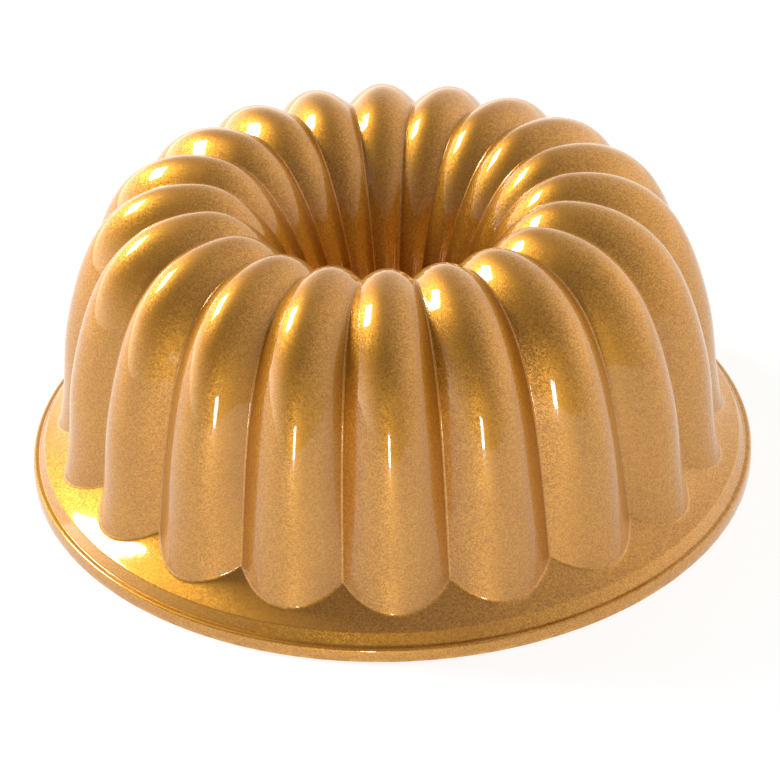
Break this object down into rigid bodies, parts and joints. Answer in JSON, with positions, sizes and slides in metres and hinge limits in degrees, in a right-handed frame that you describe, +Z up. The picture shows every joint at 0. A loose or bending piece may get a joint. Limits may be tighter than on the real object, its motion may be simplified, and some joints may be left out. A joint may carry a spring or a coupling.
{
  "type": "bundt pan",
  "caption": "Round fluted cake pan with a hollow centre tube, cast with a stepped rim and shown resting on that rim with its flutes uppermost.",
  "frame": {"origin": "centre of the circle on which the rim rests", "axes": "+Z up along the pan's axis, from the rim to the flutes; a flute is centred on -Y"},
  "size_m": [0.262, 0.262, 0.1058],
  "materials": {
    "gold_finish": "metallic gold bronze with fine flake and a gloss clear coat",
    "release_coat": "satin release coat in a dull gold"
  },
  "bodies": {
    "root": {"rim_lip": "gold_finish", "rim_flange": "gold_finish", "fluted_side_wall": "gold_finish", "fluted_crown": "gold_finish", "centre_tube": "gold_finish"}
  },
  "joints": []
}
